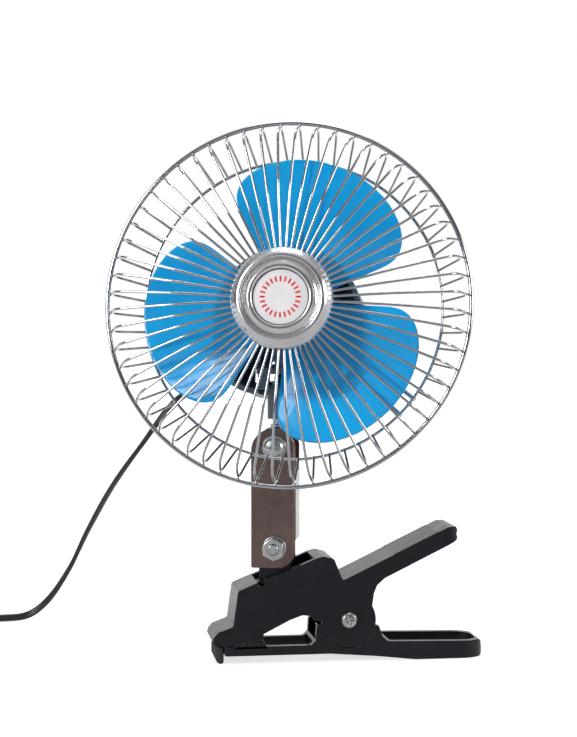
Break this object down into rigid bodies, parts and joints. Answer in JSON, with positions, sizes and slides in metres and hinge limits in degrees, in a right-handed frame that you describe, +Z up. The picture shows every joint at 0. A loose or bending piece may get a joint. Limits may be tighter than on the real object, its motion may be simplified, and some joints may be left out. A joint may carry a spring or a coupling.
{
  "type": "clip fan",
  "caption": "Clip-on wire guard fan with a blue rotor, oscillating motor head, hinged sheet-steel bracket and a sprung plastic clamp, with its lead and plug.",
  "frame": {"origin": "on the table under the middle of the fan's own box, measured without the cord, its coil and its plug", "axes": "+Z up from the table, -Y towards the front that the fan faces, +X towards the clip's squeeze grips; the clip's axle runs along Y"},
  "size_m": [0.3525, 0.2074, 0.2651],
  "materials": {
    "black_plastic": "satin moulded black plastic",
    "dark_plastic": "fine-grained dark grey plastic",
    "white_plastic": "natural white gear plastic",
    "blue_blade": "translucent bright blue plastic",
    "chrome_wire": "bright chrome plating",
    "chrome_pressing": "bright chrome plating with a turned groove",
    "zinc": "bright zinc plating",
    "bronze_lacquer": "dark bronze lacquer on sheet steel",
    "steel": "plain steel",
    "spring_steel": "oiled spring wire",
    "brass": "turned brass",
    "magnet": "dark ferrite",
    "soft_rubber": "soft black rubber",
    "cord_sheath": "black flexible sheath, satin",
    "pearl_badge": "pearl white disc with short radial ticks"
  },
  "bodies": {
    "clip_base": {"lower_lever": "black_plastic", "jaw_foot": "soft_rubber", "clip_axle_screw": "zinc", "clip_axle_nut": "zinc", "clip_spring": "spring_steel", "cord": "cord_sheath", "cord_coil": "cord_sheath", "coil_tie": "soft_rubber", "cord_tail": "cord_sheath", "plug_body": "black_plastic", "plug_contact_left": "steel", "plug_contact_right": "steel"},
    "upper_jaw": {"upper_lever": "black_plastic"},
    "swivel": {"swivel_block": "black_plastic", "swivel_screw": "zinc"},
    "bracket": {"bracket": "bronze_lacquer", "lower_bolt": "zinc", "lower_washer": "zinc", "lower_nut": "zinc", "upper_bolt": "zinc", "upper_washer": "zinc", "upper_nut": "zinc"},
    "neck": {"neck_lug": "steel", "neck_pin": "chrome_pressing", "neck_arm": "steel"},
    "head": {"gear_carrier": "dark_plastic", "motor_can": "zinc", "motor_end_bell": "dark_plastic", "motor_magnet": "magnet", "front_bush": "brass", "rear_bush": "brass", "mount_plate": "steel", "rear_cover": "dark_plastic", "cover_screw_left": "zinc", "cover_screw_right": "zinc", "switch_body": "black_plastic", "cord_grommet": "soft_rubber", "guard": "chrome_wire", "guard_leg_1": "chrome_wire", "guard_leg_2": "chrome_wire", "guard_leg_3": "chrome_wire", "leg_screw_1": "zinc", "leg_screw_2": "zinc", "leg_screw_3": "zinc", "guard_cap": "chrome_pressing", "cap_badge": "pearl_badge", "cap_back_plate": "steel"},
    "fan_rotor": {"rotor": "blue_blade", "rotor_nut": "brass", "motor_shaft": "steel", "motor_armature": "steel", "worm": "brass"},
    "crank": {"worm_wheel": "white_plastic"},
    "link": {"swing_link": "steel"},
    "knob": {"swing_knob": "black_plastic"},
    "rocker": {"switch_rocker": "black_plastic"},
    "tip": {"plug_tip": "zinc"}
  },
  "joints": [
    {"name": "jaw_open", "type": "hinge", "parent": "clip_base", "child": "upper_jaw", "pos_m": [0.02513, 0.00812, 0.0206], "axis": [0, 1, 0], "range_deg": [0, 30], "stiffness_Nm_per_rad": 0.6, "springref_deg": -63.03, "deforming": ["clip_spring", "cord"]},
    {"name": "base_swivel", "type": "hinge", "parent": "upper_jaw", "child": "swivel", "pos_m": [-0.00887, 0.00812, 0.033], "axis": [0, 0, 1], "range_deg": [-26, 30]},
    {"name": "bracket_tilt", "type": "hinge", "parent": "swivel", "child": "bracket", "pos_m": [-0.00887, 0.00812, 0.0565], "axis": [0.2656, 0.9641, 0], "range_deg": [-8, 12.5]},
    {"name": "neck_tilt", "type": "hinge", "parent": "bracket", "child": "neck", "pos_m": [-0.00887, 0.00812, 0.1065], "axis": [0.2656, 0.9641, 0], "range_deg": [-15, 15]},
    {"name": "head_swing", "type": "hinge", "parent": "neck", "child": "head", "pos_m": [-0.00887, 0.00812, 0.1719], "axis": [0, 0, 1], "range_deg": [-30, 30], "deforming": ["cord"]},
    {"name": "fan_spin", "type": "hinge", "parent": "head", "child": "fan_rotor", "pos_m": [0.00173, 0.0052, 0.1719], "axis": [-0.2633, -0.9558, 0.1305], "continuous": true},
    {"name": "swing_gear", "type": "hinge", "parent": "head", "child": "crank", "pos_m": [0.00216, 0.04553, 0.1719], "axis": [0, 0, 1], "continuous": true},
    {"name": "link_pivot", "type": "hinge", "parent": "crank", "child": "link", "pos_m": [0.00096, 0.04119, 0.1719], "axis": [0, 0, 1], "continuous": true},
    {"name": "knob_pull", "type": "slide", "parent": "head", "child": "knob", "axis": [0.2633, 0.9558, -0.1305], "range_m": [-0.004, 0]},
    {"name": "switch_rock", "type": "hinge", "parent": "head", "child": "rocker", "pos_m": [0.0274, 0.05319, 0.15684], "axis": [0.9641, -0.2656, 0], "range_deg": [-16, 0]},
    {"name": "plug_tip_press", "type": "slide", "parent": "clip_base", "child": "tip", "axis": [0, 1, 0], "range_m": [0, 0.0025], "stiffness_N_per_m": 250, "springref_m": -0.004}
  ],
  "couplings": [
    {"joint": "swing_gear", "follows": "fan_spin", "ratio": 0.055556},
    {"joint": "link_pivot", "follows": "fan_spin", "ratio": -0.055556}
  ]
}
